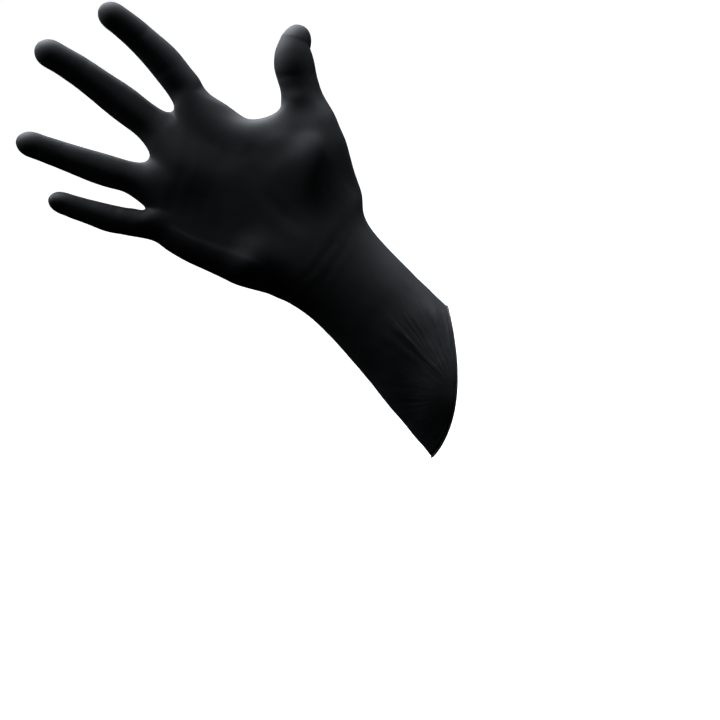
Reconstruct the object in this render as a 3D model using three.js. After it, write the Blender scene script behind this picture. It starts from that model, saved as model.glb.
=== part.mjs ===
// A nitrile exam glove in the shape that a spread right hand gives it, with its cuff pulled on.
// It is one dipped film, so it is one solid: five fingers, palm, sleeve and the bead rolled at its rim.
// Millimetres. The origin is the middle of the wrist. +Z runs up the hand to the fingertips,
// +X to the thumb's side, and the palm faces -Y.
import * as THREE from "three";

// Driving sizes
const PALM_LENGTH = 102; // wrist to the web between middle and ring finger
const PALM_BREADTH = 83; // across the knuckles
const PALM_DEPTH = 28; // palm to back of the hand
const WRIST_BREADTH = 62; // at the step under the thumb's root
const WRIST_DEPTH = 39;
const SLEEVE_LENGTH = 112; // wrist to rim on the little finger's side
const RIM_RISE = 44; // the pulled rim is this much nearer to the wrist on the thumb's side
const SLEEVE_BREADTH = 64; // at the rim
const SLEEVE_DEPTH = 50; // at the rim
const FILM = 1; // wall
const BEAD_RADIUS = 1.3; // the rolled rim
const TIP_DOME = 9; // length of a fingertip's round end

// Each digit's length from its root to its tip, and its breadth and depth at the middle joint
const DIGIT_SIZES = {
  index: { length: 68, breadth: 17.7, depth: 17.4 },
  middle: { length: 79.5, breadth: 18.2, depth: 18 },
  ring: { length: 70, breadth: 16.4, depth: 17 },
  little: { length: 54.5, breadth: 14.1, depth: 14.6 },
  thumb: { length: 48.4, breadth: 20.8, depth: 21.5 },
};

// Each digit's root, as shares of palm breadth, palm depth and palm length. bends are the places
// of its root, its middle joint and its end joint, as shares of its length. lean is the slant to
// the thumb's side and curl the bend to the palm, in degrees, that each of these adds.
const DIGIT_STANCE = {
  index: { x: 0.241, y: 0, z: 1.02, bends: [0, 0.36, 0.7], lean: [13, -10, -7], curl: [8, 7, 8] },
  middle: { x: -0.043, y: 0, z: 1.025, bends: [0, 0.36, 0.7], lean: [-3, -1, -7], curl: [6, 8, 8] },
  ring: { x: -0.346, y: -0.02, z: 0.936, bends: [0, 0.36, 0.7], lean: [-24, 3, 0], curl: [8, 7, 8] },
  little: { x: -0.554, y: -0.06, z: 0.804, bends: [0, 0.3, 0.7], lean: [-32, 9, 2], curl: [20, 10, 8] },
  thumb: {
    x: 0.602,
    y: -0.14,
    z: 0.52,
    bends: [0, 0.3, 0.6, 0.82],
    lean: [40, -5, 18, 42],
    curl: [0, 0, -6, -20],
  },
};

// Sections along a digit: at is the share of its length, wide and deep are shares of its sizes
const FINGER_SECTIONS = [
  { at: 0.1, wide: 1.02, deep: 1.04 },
  { at: 0.19, wide: 0.985, deep: 1.0 },
  { at: 0.28, wide: 1.0, deep: 1.0 },
  { at: 0.37, wide: 0.985, deep: 0.98 },
  { at: 0.46, wide: 0.935, deep: 0.93 },
  { at: 0.55, wide: 0.89, deep: 0.89 },
  { at: 0.64, wide: 0.86, deep: 0.86 },
  { at: 0.73, wide: 0.83, deep: 0.83 },
  { at: 0.81, wide: 0.8, deep: 0.82 },
];
const THUMB_SECTIONS = [
  { at: 0.2, wide: 1.07, deep: 1.02 },
  { at: 0.29, wide: 0.99, deep: 0.96 },
  { at: 0.38, wide: 0.97, deep: 0.95 },
  { at: 0.47, wide: 0.99, deep: 0.98 },
  { at: 0.56, wide: 1.0, deep: 1.0 },
  { at: 0.64, wide: 0.95, deep: 0.96 },
  { at: 0.72, wide: 0.87, deep: 0.91 },
  { at: 0.79, wide: 0.77, deep: 0.84 },
];
const BEND_SPREAD = 0.3; // a joint's bend is spread over this share of the digit's length

// Rows of the palm, from the wrist to the fingers' roots. up is a share of each column's height,
// ulnar and radial are the two edges as shares of palm breadth, and the depths to the palm and to
// the back are shares of palm depth at the ulnar edge, the middle and the radial edge.
const PALM_ROWS = [
  { up: 0.05, ulnar: -0.366, radial: 0.46, palm: [0.57, 0.69, 0.55], back: [0.56, 0.69, 0.52] },
  { up: 0.12, ulnar: -0.382, radial: 0.512, palm: [0.56, 0.67, 0.64], back: [0.5, 0.67, 0.45] },
  { up: 0.2, ulnar: -0.412, radial: 0.571, palm: [0.54, 0.63, 0.72], back: [0.44, 0.63, 0.34] },
  { up: 0.29, ulnar: -0.449, radial: 0.648, palm: [0.52, 0.58, 0.75], back: [0.39, 0.59, 0.22] },
  { up: 0.37, ulnar: -0.475, radial: 0.719, palm: [0.5, 0.55, 0.72], back: [0.36, 0.56, 0.12] },
  { up: 0.4425, ulnar: -0.49, radial: 0.7, palm: [0.48, 0.53, 0.64], back: [0.34, 0.54, 0.06] },
  { up: 0.515, ulnar: -0.506, radial: 0.642, palm: [0.46, 0.52, 0.52], back: [0.33, 0.53, 0.06] },
  { up: 0.5875, ulnar: -0.523, radial: 0.574, palm: [0.45, 0.51, 0.44], back: [0.32, 0.52, 0.08] },
  { up: 0.66, ulnar: -0.541, radial: 0.508, palm: [0.43, 0.5, 0.36], back: [0.31, 0.51, 0.1] },
  { up: 0.74, ulnar: -0.559, radial: 0.38, palm: [0.42, 0.49, 0.37], back: [0.3, 0.5, 0.26] },
  { up: 0.82, ulnar: -0.572, radial: 0.354, palm: [0.4, 0.49, 0.39], back: [0.3, 0.48, 0.35] },
  { up: 0.91, ulnar: -0.584, radial: 0.347, palm: [0.38, 0.48, 0.4], back: [0.3, 0.46, 0.36] },
  { up: 1, ulnar: -0.603, radial: 0.352, palm: [0.36, 0.46, 0.41], back: [0.29, 0.43, 0.35] },
];
const FLAT_FROM = 0.4; // under this share of its height the palm turns oval, like the wrist
const THUMB_FROM = 0.37; // the thumb leaves from this share of the palm's height upwards

// Where the palm ends and the fingers begin, from the radial edge through the three webs to the
// ulnar edge. x is a share of palm breadth; palm, back and web are heights on the palm, on the
// back and at the web's edge, as shares of palm length.
const ROOT_LINE = [
  { x: 0.352, palm: 0.98, back: 0.95 },
  { x: 0.11, palm: 0.97, back: 0.89, web: 1.055 },
  { x: -0.205, palm: 0.92, back: 0.85, web: 0.998 },
  { x: -0.468, palm: 0.78, back: 0.71, web: 0.848 },
  { x: -0.603, palm: 0.72, back: 0.67 },
];
// A web's edge, between its foot on the back and its foot on the palm: y is a share of palm
// depth, and drop is how far it lies under the web's highest point, as a share of palm length
const WEB_EDGE = [
  { y: 0.2, drop: 0.06 },
  { y: -0.08, drop: 0 },
  { y: -0.3, drop: 0.028 },
];

// Rows of the sleeve, from the wrist to the rim. down is a share of each column's length, swell
// turns the size from the wrist's to the rim's, and ulnar and radial are the edges as shares of
// the breadth there.
const SLEEVE_ROWS = [
  { down: 0, swell: 0, ulnar: -0.471, radial: 0.532 },
  { down: 0.06, swell: 0.02, ulnar: -0.452, radial: 0.486 },
  { down: 0.13, swell: 0.06, ulnar: -0.441, radial: 0.455 },
  { down: 0.22, swell: 0.13, ulnar: -0.446, radial: 0.433 },
  { down: 0.31, swell: 0.22, ulnar: -0.461, radial: 0.418 },
  { down: 0.4, swell: 0.32, ulnar: -0.482, radial: 0.406 },
  { down: 0.49, swell: 0.43, ulnar: -0.508, radial: 0.395 },
  { down: 0.58, swell: 0.54, ulnar: -0.537, radial: 0.384 },
  { down: 0.67, swell: 0.65, ulnar: -0.564, radial: 0.375 },
  { down: 0.76, swell: 0.76, ulnar: -0.589, radial: 0.366 },
  { down: 0.84, swell: 0.86, ulnar: -0.614, radial: 0.359 },
  { down: 0.92, swell: 0.94, ulnar: -0.636, radial: 0.352 },
  { down: 1, swell: 1, ulnar: -0.656, radial: 0.349 },
];
const RIM_BOW = 1.9; // 1 is a straight slant from edge to edge, and more hangs deeper

// Soft rises on the palm (side -1) and on the back (side 1): x and z are shares of palm breadth
// and palm length, reach and rise are shares of palm depth
const MOUNDS = [
  { side: -1, x: 0.38, z: 0.34, reach: 1.1, rise: 0.12 }, // ball of the thumb
  { side: -1, x: -0.3, z: 0.2, reach: 0.8, rise: 0.1 }, // heel of the hand
  { side: -1, x: -0.13, z: 0.83, reach: 0.75, rise: 0.05 }, // pads under the fingers
  { side: 1, x: 0.2, z: 0.87, reach: 0.34, rise: 0.06 }, // knuckles
  { side: 1, x: -0.06, z: 0.89, reach: 0.34, rise: 0.06 },
  { side: 1, x: -0.29, z: 0.82, reach: 0.32, rise: 0.055 },
  { side: 1, x: -0.47, z: 0.7, reach: 0.3, rise: 0.05 },
  { side: -1, x: -0.13, z: -0.97, reach: 1, rise: 0.11 }, // where the rim is pulled
];

// The mesh's columns: a ring round the hand has four columns on each edge and four for each
// finger on the palm and on the back, and a ring round a digit has four on each of four sides.
// The thumb's opening is four rows high too.
const PER_SIDE = 4;
const FINGERS = ["index", "middle", "ring", "little"];
const PER_FACE = PER_SIDE * FINGERS.length;
const AROUND = 2 * (PER_SIDE + PER_FACE);
const DIGIT_AROUND = 4 * PER_SIDE;
const BACK_START = PER_SIDE / 2; // first column on the back; column 0 is the radial edge's middle
const THUMB_ROW = PALM_ROWS.findIndex(({ up }) => up >= THUMB_FROM);
const FREE_RINGS = { finger: 1, thumb: 2 }; // between a digit's root and its first section
const RELAX_ROUNDS = 30;
const RELAX_PULL = 0.5; // shares of the way to the middle of the neighbours
const RELAX_PUSH = -0.53;
const DOME_ANGLES = [0, 24, 46, 66]; // rings of a fingertip's round end, in degrees
const CAP_SPREAD = 0.85; // how far the grid that closes a fingertip reaches out to the last ring
const BEAD_STEPS = 6;
const LINE_STEPS = 80; // steps in which a digit's bent line is worked out

const radians = THREE.MathUtils.degToRad;
const mix = THREE.MathUtils.lerp;
const ease = (t) => THREE.MathUtils.smoothstep(t, 0, 1);
const column = (j) => (j + AROUND) % AROUND;

// An open surface of quads. Free points are the ones that relax() may move.
const points = [];
const free = [];
const quads = [];

function addPoint(point, isFree = false) {
  free.push(isFree);
  return points.push(point) - 1;
}

function addQuad(a, b, c, d) {
  quads.push([a, b, c, d]);
}

// Quads between two closed loops of equal length, the second one nearer to the fingertips
function addBand(lower, upper) {
  lower.forEach((a, k) => {
    const next = (k + 1) % lower.length;
    addQuad(a, lower[next], upper[next], upper[k]);
  });
}

// A value that runs smoothly from the ulnar edge through the middle to the radial edge, for
// across from -1 to 1
function across3([ulnar, middle, radial], across) {
  return mix(middle, across < 0 ? ulnar : radial, ease(Math.abs(across)));
}

// Where a column lies in a ring round the hand: on an edge, with its angle round the edge, or on
// a face, with its place across from 1 (radial) to -1 (ulnar)
function placeOf(j) {
  const k = column(j + BACK_START);
  const past = k - PER_SIDE - PER_FACE;
  if (k < PER_SIDE) return { edge: 1, angle: Math.PI * (k / PER_SIDE - 0.5) };
  if (past <= 0) return { face: 1, across: 1 - (2 * (k - PER_SIDE)) / PER_FACE };
  if (past < PER_SIDE) return { edge: -1, angle: Math.PI * (past / PER_SIDE + 0.5) };
  return { face: -1, across: -1 + (2 * (past - PER_SIDE)) / PER_FACE };
}

// One ring round the hand. ulnar and radial are its edges in x, palm and back its depths at
// ulnar edge, middle and radial edge, spread moves the columns to their fingers, and height
// gives z for a place across and a face. A ring is flat with round edges, and the more oval it
// is, the nearer it comes to an ellipse.
function ringPoints({ ulnar, radial, palm, back, spread = (a) => a, height, oval }) {
  const roundOf = (end) => (palm[end] + back[end]) / 2;
  const from = ulnar + roundOf(0);
  const to = radial - roundOf(2);
  return Array.from({ length: AROUND }, (_, j) => {
    const turn = (2 * Math.PI * j) / AROUND;
    const across = Math.cos(turn);
    const side = Math.sin(turn);
    const onEllipse = new THREE.Vector3(
      mix(ulnar, radial, (across + 1) / 2),
      side * (side > 0 ? back[1] : palm[1]),
      height(across, side),
    );
    return flatPoint(j).lerp(onEllipse, oval);
  });

  function flatPoint(j) {
    const place = placeOf(j);
    if (place.face) {
      const across = spread(place.across);
      const depth = place.face > 0 ? across3(back, across) : -across3(palm, across);
      return new THREE.Vector3(mix(from, to, (across + 1) / 2), depth, height(across, place.face));
    }
    const end = place.edge > 0 ? 2 : 0;
    const round = roundOf(end);
    return new THREE.Vector3(
      (place.edge > 0 ? to : from) + round * Math.cos(place.angle),
      (back[end] - palm[end]) / 2 + round * Math.sin(place.angle),
      height(place.edge, Math.sin(place.angle)),
    );
  }
}

// The height of the root line over a place across, on the palm (face -1) or the back (face 1)
function rootHeight(across, face) {
  const t = ((1 - across) / 2) * (ROOT_LINE.length - 1);
  const i = Math.min(Math.floor(t), ROOT_LINE.length - 2);
  const palm = mix(ROOT_LINE[i].palm, ROOT_LINE[i + 1].palm, t - i);
  const back = mix(ROOT_LINE[i].back, ROOT_LINE[i + 1].back, t - i);
  return PALM_LENGTH * mix(palm, back, (face + 1) / 2);
}

// Moves evenly spaced columns so that those between two fingers come to lie at the webs
function rootSpread(across) {
  const t = ((1 - across) / 2) * (ROOT_LINE.length - 1);
  const i = Math.min(Math.floor(t), ROOT_LINE.length - 2);
  const { x: radial } = ROOT_LINE[0];
  const { x: ulnar } = ROOT_LINE[ROOT_LINE.length - 1];
  const x = mix(ROOT_LINE[i].x, ROOT_LINE[i + 1].x, t - i);
  return (2 * (x - ulnar)) / (radial - ulnar) - 1;
}

function palmRing({ up, ulnar, radial, palm, back }) {
  return ringPoints({
    ulnar: ulnar * PALM_BREADTH,
    radial: radial * PALM_BREADTH,
    palm: palm.map((share) => share * PALM_DEPTH),
    back: back.map((share) => share * PALM_DEPTH),
    spread: (across) => mix(across, rootSpread(across), ease(up)),
    height: (across, face) => up * rootHeight(across, face),
    oval: 1 - ease(up / FLAT_FROM),
  });
}

// How far the rim lies under the wrist at a place across
function rimDepth(across) {
  return SLEEVE_LENGTH - 2 * BEAD_RADIUS - RIM_RISE * Math.pow((across + 1) / 2, RIM_BOW);
}

function sleeveRing({ down, swell, ulnar, radial }) {
  const breadth = mix(WRIST_BREADTH, SLEEVE_BREADTH, swell);
  const depth = mix(WRIST_DEPTH, SLEEVE_DEPTH, swell) / 2;
  return ringPoints({
    ulnar: ulnar * breadth,
    radial: radial * breadth,
    palm: [depth, depth, depth],
    back: [depth, depth, depth],
    height: (across) => -down * rimDepth(across),
    oval: 1,
  });
}

// The bent line of a digit: at a share of its length, the point, the way to the tip (along), the
// way to the thumb's side (side) and the way to the back of the hand (back)
function digitLine(name) {
  const { x, y, z, bends, lean, curl } = DIGIT_STANCE[name];
  const { length } = DIGIT_SIZES[name];
  const bend = (angles, share) =>
    bends.reduce((sum, joint, i) => {
      const done = joint ? ease((share - joint) / BEND_SPREAD + 0.5) : 1;
      return sum + radians(angles[i]) * done;
    }, 0);
  const frameAt = (share) => {
    const leaning = bend(lean, share);
    const curling = bend(curl, share);
    const along = new THREE.Vector3(
      Math.sin(leaning) * Math.cos(curling),
      -Math.sin(curling),
      Math.cos(leaning) * Math.cos(curling),
    );
    const side = new THREE.Vector3(Math.cos(leaning), 0, -Math.sin(leaning));
    return { along, side, back: along.clone().cross(side) };
  };
  const root = new THREE.Vector3(x * PALM_BREADTH, y * PALM_DEPTH, z * PALM_LENGTH);
  const path = [root];
  for (let i = 0; i < LINE_STEPS; i++) {
    const { along } = frameAt((i + 0.5) / LINE_STEPS);
    path.push(path[i].clone().addScaledVector(along, length / LINE_STEPS));
  }
  return (share) => {
    const t = Math.min(share, 1) * LINE_STEPS;
    const i = Math.min(Math.floor(t), LINE_STEPS - 1);
    return { point: path[i].clone().lerp(path[i + 1], t - i), ...frameAt(share) };
  };
}

// A ring of a digit about its line, or a point inside it: reach is its share of the full size
function digitPoint({ point, side, back }, wide, deep, angle, reach = 1) {
  return point
    .clone()
    .addScaledVector(side, (wide / 2) * reach * Math.cos(angle))
    .addScaledVector(back, (deep / 2) * reach * Math.sin(angle));
}

const digitAngle = (k) => Math.PI / 4 + (2 * Math.PI * k) / DIGIT_AROUND;

function digitRing(frame, wide, deep, reach) {
  return Array.from({ length: DIGIT_AROUND }, (_, k) =>
    digitPoint(frame, wide, deep, digitAngle(k), reach),
  );
}

// Grows a digit from the loop of points at its root to its tip. between is the number of free
// rings that lead from the root to the first section.
function addDigit(name, root, sections, between) {
  const { length, breadth, depth } = DIGIT_SIZES[name];
  const line = digitLine(name);
  const rings = sections.map(({ at, wide, deep }) =>
    digitRing(line(at), wide * breadth, deep * depth),
  );
  let loop = root;
  for (let i = 1; i <= between; i++) {
    const ring = root.map((index, k) => {
      const start = points[index].clone();
      return addPoint(start.lerp(rings[0][k], i / (between + 1)), true);
    });
    addBand(loop, ring);
    loop = ring;
  }
  rings.forEach((ring) => {
    const next = ring.map((point) => addPoint(point));
    addBand(loop, next);
    loop = next;
  });
  addTip(line, length, breadth, depth, sections[sections.length - 1], loop);
}

// The round end of a digit: rings on a dome, closed by a grid of four by four quads
function addTip(line, length, breadth, depth, { wide, deep }, loop) {
  const size = [wide * breadth, deep * depth];
  const onDome = (sine) => line(1 - (TIP_DOME / length) * (1 - sine));
  let last = loop;
  DOME_ANGLES.forEach((degrees) => {
    const angle = radians(degrees);
    const dome = digitRing(onDome(Math.sin(angle)), ...size, Math.cos(angle));
    const ring = dome.map((point) => addPoint(point));
    addBand(last, ring);
    last = ring;
  });
  const rim = Math.cos(radians(DOME_ANGLES[DOME_ANGLES.length - 1]));
  const half = PER_SIDE / 2;
  const grid = Array.from({ length: PER_SIDE + 1 }, (_, row) =>
    Array.from({ length: PER_SIDE + 1 }, (__, col) => {
      if (row === 0) return last[col];
      if (col === PER_SIDE) return last[PER_SIDE + row];
      if (row === PER_SIDE) return last[3 * PER_SIDE - col];
      if (col === 0) return last[4 * PER_SIDE - row];
      const across = (half - col) / half;
      const up = (half - row) / half;
      const reach = rim * CAP_SPREAD * Math.hypot(across, up);
      const frame = onDome(Math.sqrt(1 - reach * reach));
      return addPoint(digitPoint(frame, ...size, Math.atan2(up, across), reach));
    }),
  );
  for (let row = 0; row < PER_SIDE; row++)
    for (let col = 0; col < PER_SIDE; col++)
      addQuad(grid[row][col], grid[row][col + 1], grid[row + 1][col + 1], grid[row + 1][col]);
}

// The sleeve and the palm: rings from the rim to the root line, open where the thumb leaves
function addHand() {
  const isThumbRow = (r) => r >= THUMB_ROW && r <= THUMB_ROW + PER_SIDE;
  const isThumbColumn = (j) => j <= BACK_START || j >= AROUND - BACK_START;
  const isInside = (r, j) => isThumbRow(r - 1) && isThumbRow(r + 1) && isInsideColumn(j);
  const isInsideColumn = (j) => isThumbColumn(column(j - 1)) && isThumbColumn(column(j + 1));
  const lastRow = PALM_ROWS.length - 1;
  const isFree = (r, j) => r === lastRow || (isThumbRow(r) && isThumbColumn(j));

  const sleeveRows = [...SLEEVE_ROWS]
    .reverse()
    .map((row) => sleeveRing(row).map((point) => addPoint(point)));
  const palmRows = PALM_ROWS.map((row, r) =>
    palmRing(row).map((point, j) => (isInside(r, j) ? null : addPoint(point, isFree(r, j)))),
  );
  const rows = [...sleeveRows, ...palmRows];
  for (let r = 0; r + 1 < rows.length; r++)
    for (let j = 0; j < AROUND; j++) {
      const next = column(j + 1);
      const palmRow = r - sleeveRows.length;
      const isThumbQuad =
        isThumbRow(palmRow) && isThumbRow(palmRow + 1) && isThumbColumn(j) && isThumbColumn(next);
      if (!isThumbQuad) addQuad(rows[r][j], rows[r][next], rows[r + 1][next], rows[r + 1][j]);
    }
  return { rim: sleeveRows[0], palmRows, top: palmRows[lastRow] };
}

// The loop of points round the opening that the thumb leaves from: up the back, across the top,
// down the palm and across the bottom
function thumbRoot(rows) {
  const back = BACK_START;
  const palm = -BACK_START;
  const steps = Array.from({ length: PER_SIDE }, (_, i) => i);
  return [
    ...steps.map((i) => rows[THUMB_ROW + i][back]),
    ...steps.map((i) => rows[THUMB_ROW + PER_SIDE][column(back - i)]),
    ...steps.map((i) => rows[THUMB_ROW + PER_SIDE - i][column(palm)]),
    ...steps.map((i) => rows[THUMB_ROW][column(palm + i)]),
  ];
}

// A web between two fingers: the points of its edge, from the back to the palm
function addWeb({ x, web }) {
  return WEB_EDGE.map(({ y, drop }) =>
    addPoint(
      new THREE.Vector3(x * PALM_BREADTH, y * PALM_DEPTH, (web - drop) * PALM_LENGTH),
      drop > 0,
    ),
  );
}

// Lets the free points settle between their neighbours, with every second round pushing back a
// little more than the first one pulled in, so that the shape is smoothed and not shrunk
function relax() {
  const neighbours = points.map(() => new Set());
  quads.forEach((quad) =>
    quad.forEach((a, i) => {
      const b = quad[(i + 1) % quad.length];
      neighbours[a].add(b);
      neighbours[b].add(a);
    }),
  );
  for (let round = 0; round < RELAX_ROUNDS; round++) {
    const strength = round % 2 ? RELAX_PUSH : RELAX_PULL;
    const moved = points.map((point, i) => {
      if (!free[i]) return point;
      const middle = new THREE.Vector3();
      neighbours[i].forEach((n) => middle.add(points[n]));
      return point.clone().lerp(middle.divideScalar(neighbours[i].size), strength);
    });
    moved.forEach((point, i) => points[i].copy(point));
  }
}

// The way out of the surface at each point, from the quads that meet there
function pointNormals() {
  const normals = points.map(() => new THREE.Vector3());
  quads.forEach(([a, b, c, d]) => {
    const diagonal = points[c].clone().sub(points[a]);
    const normal = diagonal.cross(points[d].clone().sub(points[b]));
    [a, b, c, d].forEach((i) => normals[i].add(normal));
  });
  return normals.map((normal) => normal.normalize());
}

// Raises the mounds from the palm and the back
function raiseMounds() {
  const normals = pointNormals();
  MOUNDS.forEach(({ side, x, z, reach, rise }) =>
    points.forEach((point, i) => {
      const facing = Math.max(side * normals[i].y, 0);
      const away = Math.hypot(point.x - x * PALM_BREADTH, point.z - z * PALM_LENGTH);
      const left = Math.max(1 - (away / (reach * PALM_DEPTH)) ** 2, 0);
      point.y += side * rise * PALM_DEPTH * facing * left ** 2;
    }),
  );
}

// The solid: the outer surface, the inner one a film's thickness inside it, and the bead that
// joins them round the rim
function filmGeometry(rim) {
  const normals = pointNormals();
  const outer = points.map((point) => point.clone());
  const inner = points.map((point, i) => point.clone().addScaledVector(normals[i], -FILM));
  const positions = [...outer, ...inner];
  const faces = quads.map((quad) => [...quad]);
  quads.forEach(([a, b, c, d]) => faces.push([d, c, b, a].map((i) => i + outer.length)));

  const seat = Math.asin(FILM / 2 / BEAD_RADIUS);
  const beadRing = (step) =>
    rim.map((index, j) => {
      const next = points[rim[(j + 1) % rim.length]];
      const last = points[rim[(j + rim.length - 1) % rim.length]];
      const out = normals[index];
      const up = out.clone().cross(next.clone().sub(last)).normalize();
      const centre = points[index]
        .clone()
        .addScaledVector(out, -FILM / 2)
        .addScaledVector(up, -BEAD_RADIUS * Math.cos(seat));
      const angle = mix(Math.PI / 2 - seat, seat - 1.5 * Math.PI, step / BEAD_STEPS);
      centre.addScaledVector(out, BEAD_RADIUS * Math.cos(angle));
      centre.addScaledVector(up, BEAD_RADIUS * Math.sin(angle));
      return positions.push(centre) - 1;
    });
  let ring = rim;
  for (let step = 1; step <= BEAD_STEPS; step++) {
    const next = step < BEAD_STEPS ? beadRing(step) : rim.map((index) => index + outer.length);
    ring.forEach((a, j) => {
      const k = (j + 1) % ring.length;
      faces.push([a, next[j], next[k], ring[k]]);
    });
    ring = next;
  }

  const geometry = new THREE.BufferGeometry();
  const xyz = positions.flatMap((point) => point.toArray());
  geometry.setAttribute("position", new THREE.Float32BufferAttribute(xyz, 3));
  geometry.setIndex(faces.flatMap(([a, b, c, d]) => [a, b, c, a, c, d]));
  geometry.computeVertexNormals();
  return geometry;
}

const hand = addHand();
const webs = ROOT_LINE.slice(1, -1).map(addWeb);
FINGERS.forEach((name, i) => {
  const back = BACK_START + PER_SIDE * i;
  const palm = AROUND - BACK_START - PER_SIDE * (i + 1);
  const run = (from, count) => Array.from({ length: count }, (_, k) => hand.top[column(from + k)]);
  const isLast = i === FINGERS.length - 1;
  const root = [
    ...run(back, PER_SIDE + 1),
    ...(isLast ? run(back + PER_SIDE + 1, PER_SIDE - 1) : webs[i]),
    ...run(palm, PER_SIDE + 1),
    ...(i === 0 ? run(palm + PER_SIDE + 1, PER_SIDE - 1) : [...webs[i - 1]].reverse()),
  ];
  addDigit(name, root, FINGER_SECTIONS, FREE_RINGS.finger);
});
addDigit("thumb", thumbRoot(hand.palmRows), THUMB_SECTIONS, FREE_RINGS.thumb);
relax();
raiseMounds();

const film = new THREE.MeshStandardMaterial({ color: 0x0c0d0f, roughness: 0.5, metalness: 0 });
const glove = new THREE.Mesh(filmGeometry(hand.rim), film);
glove.name = "glove";

const exam_glove = new THREE.Group();
exam_glove.add(glove);
export default exam_glove;
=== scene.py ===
import math

import bmesh
import bpy
import numpy as np
from mathutils import Matrix, Vector, noise


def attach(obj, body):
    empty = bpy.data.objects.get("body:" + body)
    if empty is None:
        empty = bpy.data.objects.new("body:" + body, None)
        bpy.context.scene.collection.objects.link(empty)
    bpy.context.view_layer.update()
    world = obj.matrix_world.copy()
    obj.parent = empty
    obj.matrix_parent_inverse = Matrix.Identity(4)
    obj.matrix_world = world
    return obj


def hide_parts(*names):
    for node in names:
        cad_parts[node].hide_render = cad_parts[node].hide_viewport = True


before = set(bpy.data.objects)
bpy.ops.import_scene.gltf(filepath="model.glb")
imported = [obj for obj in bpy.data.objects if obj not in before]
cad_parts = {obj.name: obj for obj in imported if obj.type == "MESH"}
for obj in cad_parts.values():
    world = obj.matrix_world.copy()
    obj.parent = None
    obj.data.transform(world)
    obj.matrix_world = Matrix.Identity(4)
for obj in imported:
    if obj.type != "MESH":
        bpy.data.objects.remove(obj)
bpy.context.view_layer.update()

# The film of the glove: nitrile rubber a tenth of a millimetre thick, dipped in one piece on a
# former, so that it has no seam, and drawn tight here in the shape of a spread hand. It creases
# at the joints, and on the sleeve it gathers in folds from where its rim is pulled.
MM = 0.001
FILM_THICKNESS = 0.3 * MM
FILM_SUBDIVISIONS = 2
BEAD_EDGE = 1.15 * MM
SLEEVE_TOP = -40 * MM
WELD_DISTANCE = 0.001 * MM
ANY_ANGLE = 3.1


def outer_skin(node):
    """The outer skin of the glove's solid, as quads, without its inner skin and its bead.

    The bead is told by its short edges, and the outer skin by what joins on to the highest tip.
    """
    skin = bmesh.new()
    skin.from_mesh(node.data)
    bmesh.ops.remove_doubles(skin, verts=skin.verts, dist=WELD_DISTANCE)
    beaded = set()
    for vert in skin.verts:
        if vert.co.z < SLEEVE_TOP and min(e.calc_length() for e in vert.link_edges) < BEAD_EDGE:
            beaded.add(vert)
    bead = [face for face in skin.faces if all(vert in beaded for vert in face.verts)]
    bmesh.ops.delete(skin, geom=bead, context="FACES")
    reached = {max(skin.verts, key=lambda vert: vert.co.z)}
    waiting = list(reached)
    while waiting:
        for edge in waiting.pop().link_edges:
            for vert in edge.verts:
                if vert not in reached:
                    reached.add(vert)
                    waiting.append(vert)
    inner = [vert for vert in skin.verts if vert not in reached]
    bmesh.ops.delete(skin, geom=inner, context="VERTS")
    limits = {"angle_face_threshold": ANY_ANGLE, "angle_shape_threshold": ANY_ANGLE}
    bmesh.ops.join_triangles(skin, faces=skin.faces, **limits)
    for face in skin.faces:
        face.smooth = True
    mesh = bpy.data.meshes.new("skin")
    skin.to_mesh(mesh)
    skin.free()
    return mesh


def points_of(mesh):
    """The places of a mesh's points as rows of x, y, z."""
    flat = np.empty(len(mesh.vertices) * 3)
    mesh.vertices.foreach_get("co", flat)
    return flat.reshape(-1, 3)


def normals_of(mesh):
    """The normals of a mesh's points as rows of x, y, z."""
    flat = np.empty(len(mesh.vertices) * 3)
    mesh.vertices.foreach_get("normal", flat)
    return flat.reshape(-1, 3)


def move_to(mesh, points):
    """Puts a mesh's points at the rows of x, y, z."""
    mesh.vertices.foreach_set("co", points.ravel())
    mesh.update()


def smoothed(mesh, levels):
    """The mesh after Catmull-Clark subdivision."""
    piece = bpy.data.objects.new("smoothed", mesh)
    bpy.context.scene.collection.objects.link(piece)
    rounding = piece.modifiers.new("rounding", "SUBSURF")
    rounding.levels = levels
    rounding.render_levels = levels
    bpy.context.view_layer.update()
    graph = bpy.context.evaluated_depsgraph_get()
    fine = bpy.data.meshes.new_from_object(piece.evaluated_get(graph), depsgraph=graph)
    bpy.data.objects.remove(piece)
    return fine


def rounded_through(mesh, levels, passes=3, share=0.8):
    """The subdivided mesh, with its coarse points moved out first so that it runs through them."""
    wanted = points_of(mesh)
    cage = wanted.copy()
    for _ in range(passes):
        reached = points_of(smoothed(mesh, levels))[:len(wanted)]
        cage += share * (wanted - reached)
        move_to(mesh, cage)
    return smoothed(mesh, levels)


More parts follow.
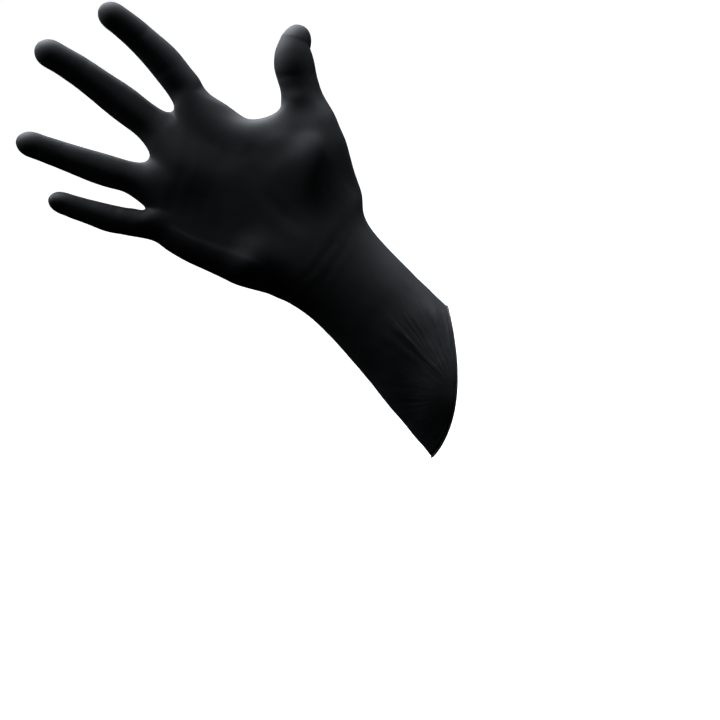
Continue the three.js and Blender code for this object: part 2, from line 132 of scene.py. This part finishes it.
# Where the middle of each digit runs, from its root through its joints to its tip, how far from
# the root the film creases, the digit's radius, and how far its last pad swells, all in mm.
DIGITS = {
    "index": {
        "line": [(20, 0, 104), (25, -3.5, 127), (26.4, -9.7, 150), (25.3, -17.4, 168.8)],
        "creases": [3, 20.5, 43],
        "radius": 8.8,
        "pad": 0.5,
    },
    "middle": {
        "line": [(-3.6, 0, 104.5), (-5, -3.2, 132.2), (-7.1, -9.8, 159.1), (-11.1, -18.5, 180.9)],
        "creases": [3, 28.4, 53],
        "radius": 9,
        "pad": 0.5,
    },
    "ring": {
        "line": [(-28.7, -0.6, 95.5), (-38.5, -4.2, 117.6), (-47.1, -10.5, 139.7), (-54, -18.4, 157.8)],
        "creases": [4, 25, 46],
        "radius": 8.3,
        "pad": 0.5,
    },
    "little": {
        "line": [(-46, -1.7, 82), (-55, -8.7, 97.3), (-61.4, -18.4, 112.4), (-66.1, -28.3, 124.5)],
        "creases": [4, 18, 34],
        "radius": 7.2,
        "pad": 0.4,
    },
    "thumb": {
        "line": [(50, -3.9, 53), (60.7, -3.9, 66.2), (71.6, -3.4, 79), (84.6, 1, 81.9)],
        "creases": [21],
        "radius": 10.5,
        "pad": 1.1,
    },
}
CREASE = {"depth": 0.26, "width": 1.6, "slant": 0.12, "lips": 0.4, "lips_apart": 2.8, "lips_width": 2}
LOWER_PAD = 0.35
PAD_REACH = 0.42
KNUCKLE = {"height": 0.5, "folds": 0.16, "spacing": 2.3, "spread": 6, "bow": 0.25}
KNUCKLES = 2
NAIL = {"from_tip": 7.5, "reach": 6.5, "depth": 0.45}
TIP_INSET = 2


def along_line(places, line):
    """How far along a bent line each place lies, and its way from the line, in millimetres."""
    line = np.array(line, float)
    best = np.full(len(places), 1e9)
    run = np.zeros(len(places))
    off = np.zeros_like(places)
    done = 0.0
    for start, end in zip(line, line[1:]):
        way = end - start
        length = np.linalg.norm(way)
        share = np.clip((places - start) @ way / length**2, 0, 1)
        apart = places - (start + share[:, None] * way)
        distance = np.linalg.norm(apart, axis=1)
        nearer = distance < best
        best[nearer] = distance[nearer]
        run[nearer] = done + share[nearer] * length
        off[nearer] = apart[nearer]
        done += length
    return run, off, best, done


def hump(values, width):
    """One at zero, falling softly to nothing beyond a width."""
    return np.exp(-((values / width) ** 2))


def rise(values, start, end):
    """Nothing before the start and one after the end, with a soft step between."""
    share = np.clip((values - start) / (end - start), 0, 1)
    return share * share * (3 - 2 * share)


def digit_relief(places, normals, line, creases, radius, pad):
    """How far the film stands out over one digit: creases and pads in front, knuckles behind."""
    run, off, distance, length = along_line(places, line)
    held = 1 - rise(distance, 1.15 * radius, 1.7 * radius)
    front = rise(-normals[:, 1], -0.1, 0.55) * held
    back = rise(normals[:, 1], 0.1, 0.8) * held
    relief = np.zeros(len(places))
    for crease in creases:
        here = run - crease + CREASE["slant"] * off[:, 0]
        groove = hump(here, CREASE["width"])
        lips = sum(hump(here + side * CREASE["lips_apart"], CREASE["lips_width"]) for side in (-1, 1))
        partial = 0.6 + 0.4 * np.cos(0.4 * off[:, 0] + crease)
        relief += CREASE["depth"] * front * partial * (CREASE["lips"] * lips - groove)
    stops = creases + [length - TIP_INSET]
    for lower, upper in zip(stops, stops[1:]):
        middle = (lower + upper) / 2
        swell = pad if upper == stops[-1] else LOWER_PAD
        relief += swell * front * hump(run - middle, PAD_REACH * (upper - lower))
    for joint in creases[-KNUCKLES:]:
        envelope = hump(run - joint, KNUCKLE["spread"]) * back
        waves = np.cos(2 * np.pi * (run - joint) / KNUCKLE["spacing"] + KNUCKLE["bow"] * off[:, 0])
        relief += KNUCKLE["folds"] * envelope * waves
        relief += KNUCKLE["height"] * envelope * hump(off[:, 0], radius)
    nail = hump(run - (length - NAIL["from_tip"]), NAIL["reach"]) * rise(normals[:, 1], 0.5, 0.95) * held
    return relief - NAIL["depth"] * nail


# The folds of the palm, as arcs under the film, and the soft folds across the wrist: the points
# that each runs through from left to right, its depth and its width, in millimetres.
PALM_FOLDS = [
    {"line": [(-42, 70), (-25, 79), (-5, 84), (8, 96)], "depth": 0.18, "width": 2.2},
    {"line": [(-38, 55), (-10, 66), (15, 73), (33, 76)], "depth": 0.1, "width": 2.2},
    {"line": [(30, 72), (15, 62), (6, 45), (4, 20), (6, 6)], "depth": 0.26, "width": 2.8},
]
WRIST_FOLDS = [
    {"line": [(-26, 2), (-8, -1), (10, 0), (28, 4)], "depth": 0.14, "width": 1.8},
    {"line": [(-24, -6), (-6, -8), (12, -6), (25, -3)], "depth": 0.12, "width": 1.7},
    {"line": [(-8, -15), (8, -13), (23, -10)], "depth": 0.08, "width": 1.5},
]


def along_palm(places, line):
    """How far along a line over the palm each place lies, its distance from it, and its length."""
    run, _, distance, length = along_line(places * (1, 0, 1), [(x, 0, z) for x, z in line])
    return run, distance, length


def fold_relief(places, normals, folds):
    """How far the film sinks in folds on the palm's side."""
    front = rise(-normals[:, 1], 0.2, 0.7)
    relief = np.zeros(len(places))
    for fold in folds:
        run, distance, length = along_palm(places, fold["line"])
        ends = rise(run, 0, 0.25 * length) * (1 - rise(run, 0.75 * length, length))
        groove = hump(distance, fold["width"])
        lips = hump(distance - 2 * fold["width"], 1.2 * fold["width"])
        relief += fold["depth"] * front * ends * (0.35 * lips - groove)
    return relief


# The web between thumb and index finger: the stretched film swells along a line a little way
# into the palm, and is drawn smooth along the web's edge, so that it rounds over without a fold.
WEB_SWELL = {
    "line": [(15, 84), (16, 75), (23, 67.6), (27, 63), (33, 59.5), (40, 55.5), (47.5, 51.5)],
    "height": 1.8,
    "width": 8,
}
WEB_EDGE = {"line": [(14, 97), (17, 87), (20, 78), (26, 73), (34.5, 68), (43, 63)], "full": 6, "reach": 11}
WEB_PASSES = 60


def web_relief(places, normals):
    """How far the film rounds out on the palm's side of the web."""
    run, distance, length = along_palm(places, WEB_SWELL["line"])
    ends = rise(run, 0, 0.3 * length) * (1 - rise(run, 0.6 * length, length))
    return WEB_SWELL["height"] * ends * hump(distance, WEB_SWELL["width"]) * rise(-normals[:, 1], 0.1, 0.6)


def web_drawn(mesh, places, normals):
    """The places after those along the web's edge have moved in between their neighbours."""
    _, distance, _ = along_palm(places, WEB_EDGE["line"])
    share = (1 - rise(distance, WEB_EDGE["full"], WEB_EDGE["reach"])) * rise(-normals[:, 1], 0.0, 0.3)
    ends = np.empty(len(mesh.edges) * 2, int)
    mesh.edges.foreach_get("vertices", ends)
    one_way = ends.reshape(-1, 2)
    here, beside = np.concatenate((one_way, one_way[:, ::-1])).T
    neighbours = np.bincount(here, minlength=len(places))[:, None]
    for _ in range(WEB_PASSES):
        sums = [np.bincount(here, places[beside, axis], len(places)) for axis in range(3)]
        places = places + 0.5 * share[:, None] * (np.stack(sums, axis=1) / neighbours - places)
    return places


# The pull on the sleeve: the rim is held at one place on the palm's side, so that soft folds run
# from there up the sleeve and fade before the wrist. Each fold is a turn further about that
# place, and where they start and fade is a way from it in millimetres.
PULL = (-10, -99.5)
PULL_FOLDS = {"height": 0.9, "every": 0.21, "starts": (3, 22), "fades": (31, 62)}


def pull_relief(places, normals):
    """How far the film stands out in the folds that run from where the rim is pulled."""
    right = places[:, 0] - PULL[0]
    up = places[:, 2] - PULL[1]
    reach = np.hypot(right, up)
    turn = np.arctan2(right, np.maximum(up, 0.5))
    fading = rise(reach, *PULL_FOLDS["starts"]) * (1 - rise(reach, *PULL_FOLDS["fades"]))
    front = rise(-normals[:, 1], 0.0, 0.5)
    waves = np.cos(2 * np.pi * turn / PULL_FOLDS["every"] + 1.3 * np.sin(5 * turn) + 0.02 * reach)
    strength = (0.55 + 0.45 * np.sin(9 * turn + 1.1)) * (0.2 + 0.8 * rise(turn, -0.1, 0.3))
    return PULL_FOLDS["height"] * fading * front * strength * (0.5 + 0.5 * waves) ** 2


# The loose film is a little uneven all over, and most of all on the sleeve.
SLACK = {"all_over": 0.1, "on_sleeve": 0.32, "sleeve_ends": (-75, 5)}
LUMPS = [{"share": 1, "scale": 0.075}, {"share": 0.4, "scale": 0.19}]


def slack_relief(places):
    """How far the loose film stands out in soft lumps."""
    loose = SLACK["all_over"] + SLACK["on_sleeve"] * (1 - rise(places[:, 2], *SLACK["sleeve_ends"]))
    lumps = np.zeros(len(places))
    for lump in LUMPS:
        lumps += [lump["share"] * noise.noise(Vector(place) * lump["scale"]) for place in places]
    return loose * lumps


film_mesh = rounded_through(outer_skin(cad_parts["glove"]), FILM_SUBDIVISIONS)
film_mesh.name = "film"
film_places = points_of(film_mesh) / MM
film_normals = normals_of(film_mesh)
film_relief = np.zeros(len(film_places))
for digit in DIGITS.values():
    film_relief += digit_relief(film_places, film_normals, **digit)
film_relief += fold_relief(film_places, film_normals, PALM_FOLDS)
film_relief += fold_relief(film_places, film_normals, WRIST_FOLDS)
film_relief += web_relief(film_places, film_normals)
film_relief += pull_relief(film_places, film_normals)
film_relief += slack_relief(film_places)
film_places = film_places + film_relief[:, None] * film_normals
move_to(film_mesh, web_drawn(film_mesh, film_places, film_normals) * MM)
film = bpy.data.objects.new("film", film_mesh)
bpy.context.scene.collection.objects.link(film)
depth = film.modifiers.new("depth", "SOLIDIFY")
depth.thickness = FILM_THICKNESS
depth.offset = -1


class Sum:
    """A value in a material's nodes, on which sums can be written."""

    def __init__(self, socket):
        self.socket = socket

    def math(self, operation, *terms, clamped=False):
        """A Math node on this value and others."""
        tree = self.socket.id_data
        made = tree.nodes.new("ShaderNodeMath")
        made.operation = operation
        made.use_clamp = clamped
        for slot, term in zip(made.inputs, (self,) + terms):
            if isinstance(term, Sum):
                tree.links.new(term.socket, slot)
            else:
                slot.default_value = term
        return Sum(made.outputs[0])

    def __add__(self, other):
        return self.math("ADD", other)

    def __radd__(self, other):
        return self.math("ADD", other)

    def __sub__(self, other):
        return self.math("SUBTRACT", other)

    def __rsub__(self, other):
        return self.math("MULTIPLY_ADD", -1.0, other)

    def __mul__(self, other):
        return self.math("MULTIPLY", other)

    def __rmul__(self, other):
        return self.math("MULTIPLY", other)

    def rise(self, start, end):
        """Nothing before the start and one after the end, with an even slope between."""
        return ((self - start) * (1 / (end - start))).math("ADD", 0.0, clamped=True)


class Finish:
    """A named material and the nodes that make it up."""

    def __init__(self, name):
        self.material = bpy.data.materials.new(name)
        self.material.use_nodes = True
        self.tree = self.material.node_tree
        self.tree.nodes.clear()

    def node(self, kind, settings, **sockets):
        """A node of a type, with its settings set first and then its sockets."""
        made = self.tree.nodes.new(kind)
        for name, value in settings.items():
            setattr(made, name, value)
        for name, value in sockets.items():
            names = (name, name.replace("_", " "))
            slot = next(s for s in made.inputs if s.identifier in names or s.name in names)
            if isinstance(value, Sum):
                self.tree.links.new(value.socket, slot)
            elif isinstance(value, bpy.types.NodeSocket):
                self.tree.links.new(value, slot)
            else:
                slot.default_value = value
        return made

    def mixed(self, factor, first, second):
        """A colour part of the way from one colour to another."""
        settings = {"data_type": "RGBA"}
        made = self.node("ShaderNodeMix", settings, Factor=factor, A_Color=first, B_Color=second)
        return next(slot for slot in made.outputs if slot.identifier == "Result_Color")


nitrile = Finish("nitrile")
place = nitrile.node("ShaderNodeTexCoord", {}).outputs["Object"]
cloud = nitrile.node("ShaderNodeTexNoise", {}, Vector=place, Scale=45.0, Detail=4.0)
grain = nitrile.node("ShaderNodeTexVoronoi", {"feature": "SMOOTH_F1"}, Vector=place, Scale=1100.0)
speckle = nitrile.node("ShaderNodeTexNoise", {}, Vector=place, Scale=2600.0, Detail=2.0)
blotch = Sum(cloud.outputs["Fac"])
tone = nitrile.mixed(blotch, (0.0150, 0.0155, 0.0166, 1), (0.0220, 0.0227, 0.0242, 1))

# Fine creases that run from the pull: noise drawn out along the way from the held place, on the
# palm's side of the sleeve alone, and strongest near the rim.
STREAKS_ACROSS = 9.0
STREAKS_ALONG = 22.0
spot = nitrile.node("ShaderNodeSeparateXYZ", {}, Vector=place).outputs
from_pull = Sum(spot["X"]) - PULL[0] * MM
above_pull = Sum(spot["Z"]) - PULL[1] * MM
pull_turn = from_pull.math("ARCTAN2", above_pull)
pull_reach = (from_pull * from_pull + above_pull * above_pull).math("SQRT")
across = pull_turn * STREAKS_ACROSS
along = pull_reach * STREAKS_ALONG
streak_place = nitrile.node("ShaderNodeCombineXYZ", {}, X=across, Y=along)
streaks = nitrile.node(
    "ShaderNodeTexNoise",
    {},
    Vector=streak_place.outputs["Vector"],
    Scale=1.6,
    Detail=2.5,
    Roughness=0.6,
)
streak_reach = pull_reach.rise(0.004, 0.02) * (1 - pull_reach.rise(0.025, 0.06))
streak_side = pull_turn.rise(-0.2, 0.3) * 0.8 + 0.2
streak_mask = streak_reach * streak_side * (1 - Sum(spot["Y"]).rise(-0.012, 0.0))
creases = nitrile.node(
    "ShaderNodeBump",
    {},
    Strength=0.9,
    Distance=0.002,
    Height=Sum(streaks.outputs["Fac"]) * streak_mask,
)
height = Sum(grain.outputs["Distance"]) * 0.7 + Sum(speckle.outputs["Fac"]) * 0.3
bump = nitrile.node(
    "ShaderNodeBump",
    {},
    Strength=0.25,
    Distance=0.00006,
    Height=height,
    Normal=creases.outputs["Normal"],
)
surface = nitrile.node(
    "ShaderNodeBsdfPrincipled",
    {},
    Base_Color=tone,
    Roughness=blotch * 0.14 + 0.54,
    Normal=bump.outputs["Normal"],
    IOR=1.4,
)
nitrile.node("ShaderNodeOutputMaterial", {}, Surface=surface.outputs[0])
film.data.materials.append(nitrile.material)
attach(film, "root")
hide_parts("glove")

# The bead at the rim: the edge of the wet film rolled up on itself on the former, so that
# the same rubber ends in a soft round cord that keeps the sleeve's mouth from tearing.
BEAD_THICKNESS = 1.1 * MM
BEAD_SIDES = 12


def rim_of(mesh):
    """The open edge of a mesh, point by point round it."""
    sheet = bmesh.new()
    sheet.from_mesh(mesh)
    edges = [edge for edge in sheet.edges if len(edge.link_faces) == 1]
    start = edges[0].verts[0]
    ring = [start]
    here, last = start, None
    while True:
        onward = [e for e in here.link_edges if len(e.link_faces) == 1 and e is not last]
        last = onward[0]
        here = last.other_vert(here)
        if here is start:
            break
        ring.append(here)
    places = [vert.co.copy() for vert in ring]
    sheet.free()
    return places


def rolled(ring, radius, sides):
    """A round cord along a closed ring of points, centred on the points themselves."""
    cord = bmesh.new()
    count = len(ring)
    middle = sum(ring, Vector()) / count
    rows = []
    for i, point in enumerate(ring):
        along = (ring[(i + 1) % count] - ring[i - 1]).normalized()
        out = point - middle
        out = (out - along * out.dot(along)).normalized()
        up = along.cross(out)
        row = []
        for k in range(sides):
            turn = 2 * math.pi * k / sides
            row.append(cord.verts.new(point + radius * (math.cos(turn) * out + math.sin(turn) * up)))
        rows.append(row)
    for i in range(count):
        for k in range(sides):
            corners = (rows[i - 1][k - 1], rows[i - 1][k], rows[i][k], rows[i][k - 1])
            cord.faces.new(corners).smooth = True
    bmesh.ops.recalc_face_normals(cord, faces=cord.faces)
    mesh = bpy.data.meshes.new("rim_bead")
    cord.to_mesh(mesh)
    cord.free()
    return mesh


bead_mesh = rolled(rim_of(film_mesh), BEAD_THICKNESS / 2, BEAD_SIDES)
bead = bpy.data.objects.new("rim_bead", bead_mesh)
bpy.context.scene.collection.objects.link(bead)
bead.data.materials.append(nitrile.material)
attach(bead, "root")
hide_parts("glove")

# The floor of the studio: a pale sheet under the glove that sweeps up all round into a wall.
# It lights nothing but itself, so that the glove stays as dark on its far side as it is.
FLOOR_HEIGHT = -0.16
FLOOR_REACH = 2.6
FLOOR_SIDES = 64
WALL_HEIGHT = 3.4
SWEEP = 1.1
SWEEP_STEPS = 8


def swept_floor():
    """A round floor whose edge curves up into a wall."""
    sheet = bmesh.new()
    profile = [(0.02, 0.0), (0.9, 0.0), (FLOOR_REACH - SWEEP, 0.0)]
    for k in range(1, SWEEP_STEPS + 1):
        turn = math.pi / 2 * k / SWEEP_STEPS
        profile.append((FLOOR_REACH - SWEEP + SWEEP * math.sin(turn), SWEEP - SWEEP * math.cos(turn)))
    profile.append((FLOOR_REACH, WALL_HEIGHT))
    rows = []
    for radius, lift in profile:
        row = []
        for k in range(FLOOR_SIDES):
            turn = 2 * math.pi * k / FLOOR_SIDES
            corner = (radius * math.cos(turn), radius * math.sin(turn), FLOOR_HEIGHT + lift)
            row.append(sheet.verts.new(corner))
        rows.append(row)
    sheet.faces.new(rows[0])
    for lower, upper in zip(rows, rows[1:]):
        for k in range(FLOOR_SIDES):
            sheet.faces.new((lower[k - 1], lower[k], upper[k], upper[k - 1])).smooth = True
    mesh = bpy.data.meshes.new("floor")
    sheet.to_mesh(mesh)
    sheet.free()
    return mesh


floor = bpy.data.objects.new("floor", swept_floor())
bpy.context.scene.collection.objects.link(floor)
pale = Finish("pale_floor")
paper = pale.node("ShaderNodeTexCoord", {}).outputs["Object"]
fibre = pale.node("ShaderNodeTexNoise", {}, Vector=paper, Scale=9.0, Detail=3.0)
white = pale.node(
    "ShaderNodeBsdfPrincipled",
    {},
    Base_Color=(0.86, 0.86, 0.86, 1),
    Roughness=Sum(fibre.outputs["Fac"]) * 0.1 + 0.75,
    Emission_Color=(1, 1, 1, 1),
    Emission_Strength=0.9,
)
pale.node("ShaderNodeOutputMaterial", {}, Surface=white.outputs[0])
floor.data.materials.append(pale.material)
floor.visible_glossy = False
floor.visible_diffuse = False

# The light of the studio: two wide soft boxes above the fingers, a weak one at the sleeve's
# side and one behind the glove, all a little cool, and the little that the dark room gives back.
PICTURE_RIGHT = Vector((0.643, 0, -0.766))
PICTURE_UP = Vector((0.766, 0, 0.643))
TOWARDS_CAMERA = Vector((0, -1, 0))
GLOVE_MIDDLE = Vector((0.0, 0.0, 0.04))
COOL_WHITE = (0.87, 0.925, 1.0)


def soft_box(name, right, up, near, size, power):
    """A square area light, placed by how far it is right, up and near in the picture."""
    lamp = bpy.data.lights.new(name, "AREA")
    lamp.shape = "SQUARE"
    lamp.size = size
    lamp.energy = power
    lamp.color = COOL_WHITE
    piece = bpy.data.objects.new(name, lamp)
    bpy.context.scene.collection.objects.link(piece)
    offset = right * PICTURE_RIGHT + up * PICTURE_UP + near * TOWARDS_CAMERA
    piece.location = GLOVE_MIDDLE + offset
    piece.rotation_euler = offset.to_track_quat("Z", "Y").to_euler()
    piece.visible_camera = False


soft_box("top_light", right=0.0, up=1.2, near=-0.3, size=1.5, power=31)
soft_box("upper_left_light", right=-0.7, up=1.0, near=-0.25, size=1.5, power=40)
soft_box("sleeve_light", right=1.3, up=0.15, near=0.45, size=1.5, power=2.8)
soft_box("back_light", right=-0.5, up=0.5, near=-1.5, size=1.2, power=6)
room = bpy.data.worlds.new("room")
room.use_nodes = True
room.node_tree.nodes["Background"].inputs["Color"].default_value = (0.85, 0.94, 1, 1)
room.node_tree.nodes["Background"].inputs["Strength"].default_value = 0.008
bpy.context.scene.world = room
bpy.context.scene.view_settings.view_transform = "Standard"

# The camera looks straight at the palm, rolled over so that the sleeve hangs down to the
# right, and takes in the empty space round the glove that the picture has.
PICTURE_MIDDLE = Vector((-0.0277, 0, -0.0489))
PICTURE_WIDTH = 0.3715
CAMERA_DISTANCE = 1.8

camera = bpy.data.cameras.new("camera")
camera.sensor_width = 36
camera.lens = 36 * CAMERA_DISTANCE / PICTURE_WIDTH
viewer = bpy.data.objects.new("camera", camera)
bpy.context.scene.collection.objects.link(viewer)
axes = Matrix((PICTURE_RIGHT, PICTURE_UP, TOWARDS_CAMERA)).transposed()
viewer.matrix_world = Matrix.Translation(PICTURE_MIDDLE + CAMERA_DISTANCE * TOWARDS_CAMERA) @ axes.to_4x4()
bpy.context.scene.camera = viewer
